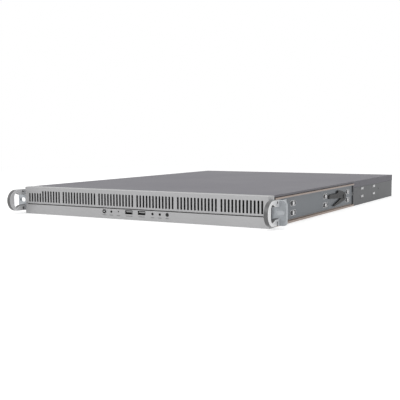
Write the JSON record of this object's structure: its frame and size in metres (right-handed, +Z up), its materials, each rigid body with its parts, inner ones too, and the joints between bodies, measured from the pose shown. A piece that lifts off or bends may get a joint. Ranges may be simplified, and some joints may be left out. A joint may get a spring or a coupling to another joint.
{
  "type": "rack server",
  "caption": "Short-depth one-unit rack server with a slotted flip-down front door, rack ears with D handles, slide rails and a sliding lid.",
  "frame": {"origin": "on the underside, at mid width, in the plane of the ears' rear faces, which meets the rack's posts", "axes": "+X to the right seen from the front, +Y to the rear, +Z up"},
  "size_m": [0.4826, 0.6396, 0.0436],
  "materials": {
    "front_aluminium": "bead-blasted and anodised, matt",
    "ear_aluminium": "natural anodised",
    "handle_aluminium": "brushed",
    "cover_paint": "fine matt grey",
    "chassis_steel": "fine matt grey",
    "rail_steel": "blue-grey zinc",
    "bright_steel": "bright zinc",
    "lever_plastic": "satin",
    "filter_foam": "open-cell foam",
    "button_metal": "satin",
    "button_dark": "satin",
    "lamp_clear": "smoked clear",
    "board_green": "solder mask",
    "connector": "tinned",
    "black_plastic": "moulded",
    "fan_plastic": "moulded",
    "drive_metal": "cast",
    "sink_metal": "extruded",
    "supply_steel": "galvanised"
  },
  "bodies": {
    "chassis": {"chassis_base": "chassis_steel", "control_strip": "front_aluminium", "door_hinge_pins": "bright_steel", "lamp_rods": "lamp_clear", "front_panel_board": "board_green", "front_board_posts": "bright_steel", "usb_sockets": "connector", "right_ear": "ear_aluminium", "left_ear": "ear_aluminium", "right_handle": "handle_aluminium", "left_handle": "handle_aluminium", "handle_screws": "bright_steel", "ear_screws": "bright_steel", "right_slide_rail": "rail_steel", "left_slide_rail": "rail_steel", "rail_studs": "bright_steel", "side_hooks": "chassis_steel", "lever_rivets": "bright_steel", "fan_bracket": "chassis_steel", "fan_frames": "black_plastic", "hard_drive_1": "drive_metal", "hard_drive_2": "drive_metal", "hard_drive_3": "drive_metal", "hard_drive_4": "drive_metal", "drive_trays": "chassis_steel", "main_board": "board_green", "main_board_posts": "bright_steel", "main_board_screws": "bright_steel", "board_sockets": "black_plastic", "processor_heatsinks": "sink_metal", "chipset_heatsink": "sink_metal", "memory_modules": "board_green", "memory_slots": "black_plastic", "supply_case": "supply_steel", "supply_fan_frame": "black_plastic", "power_inlet": "black_plastic", "switch_frame": "black_plastic", "port_plate": "chassis_steel", "rear_ports": "connector", "card_blank": "chassis_steel", "riser_card": "board_green"},
    "door": {"grille_door": "front_aluminium", "door_filter": "filter_foam", "filter_frame": "bright_steel"},
    "cover": {"top_cover": "cover_paint", "cover_guide_screws": "bright_steel", "cover_thumbscrews": "bright_steel"},
    "power_button": {"power_button": "button_metal"},
    "reset_button": {"reset_button": "button_dark"},
    "ident_button": {"ident_button": "button_dark"},
    "right_lever": {"right_release_lever": "lever_plastic"},
    "left_lever": {"left_release_lever": "lever_plastic"},
    "supply_fan": {"supply_fan_rotor": "fan_plastic"},
    "rocker": {"switch_rocker": "black_plastic"},
    "fan_1": {"fan_rotor_1": "fan_plastic"},
    "fan_2": {"fan_rotor_2": "fan_plastic"},
    "fan_3": {"fan_rotor_3": "fan_plastic"},
    "fan_4": {"fan_rotor_4": "fan_plastic"},
    "fan_5": {"fan_rotor_5": "fan_plastic"},
    "fan_6": {"fan_rotor_6": "fan_plastic"}
  },
  "joints": [
    {"name": "door_hinge", "type": "hinge", "parent": "chassis", "child": "door", "pos_m": [0, -0.0093, 0.0183], "axis": [1, 0, 0], "range_deg": [0, 95]},
    {"name": "cover_slide", "type": "slide", "parent": "chassis", "child": "cover", "axis": [0, 1, 0], "range_m": [0, 0.015]},
    {"name": "power_button_press", "type": "slide", "parent": "chassis", "child": "power_button", "axis": [0, 1, 0], "range_m": [0, 0.0012], "stiffness_N_per_m": 1500},
    {"name": "reset_button_press", "type": "slide", "parent": "chassis", "child": "reset_button", "axis": [0, 1, 0], "range_m": [0, 0.0012], "stiffness_N_per_m": 1500},
    {"name": "ident_button_press", "type": "slide", "parent": "chassis", "child": "ident_button", "axis": [0, 1, 0], "range_m": [0, 0.0012], "stiffness_N_per_m": 1500},
    {"name": "right_lever_pivot", "type": "hinge", "parent": "chassis", "child": "right_lever", "pos_m": [0.2175, 0.2905, 0.0215], "axis": [1, 0, 0], "range_deg": [-4, 4], "stiffness_Nm_per_rad": 0.4},
    {"name": "left_lever_pivot", "type": "hinge", "parent": "chassis", "child": "left_lever", "pos_m": [-0.2175, 0.2905, 0.0215], "axis": [1, 0, 0], "range_deg": [-4, 4], "stiffness_Nm_per_rad": 0.4},
    {"name": "fan_1_spin", "type": "hinge", "parent": "chassis", "child": "fan_1", "pos_m": [-0.17815, 0.204, 0.0213], "axis": [0, 1, 0], "continuous": true},
    {"name": "fan_2_spin", "type": "hinge", "parent": "chassis", "child": "fan_2", "pos_m": [-0.10689, 0.204, 0.0213], "axis": [0, 1, 0], "continuous": true},
    {"name": "fan_3_spin", "type": "hinge", "parent": "chassis", "child": "fan_3", "pos_m": [-0.03563, 0.204, 0.0213], "axis": [0, 1, 0], "continuous": true},
    {"name": "fan_4_spin", "type": "hinge", "parent": "chassis", "child": "fan_4", "pos_m": [0.03563, 0.204, 0.0213], "axis": [0, 1, 0], "continuous": true},
    {"name": "fan_5_spin", "type": "hinge", "parent": "chassis", "child": "fan_5", "pos_m": [0.10689, 0.204, 0.0213], "axis": [0, 1, 0], "continuous": true},
    {"name": "fan_6_spin", "type": "hinge", "parent": "chassis", "child": "fan_6", "pos_m": [0.17815, 0.204, 0.0213], "axis": [0, 1, 0], "continuous": true},
    {"name": "supply_fan_spin", "type": "hinge", "parent": "chassis", "child": "supply_fan", "pos_m": [0.131, 0.5788, 0.0217], "axis": [0, 1, 0], "continuous": true},
    {"name": "rocker_tilt", "type": "hinge", "parent": "chassis", "child": "rocker", "pos_m": [0.197, 0.5873, 0.0217], "axis": [1, 0, 0], "range_deg": [-7, 7]}
  ]
}
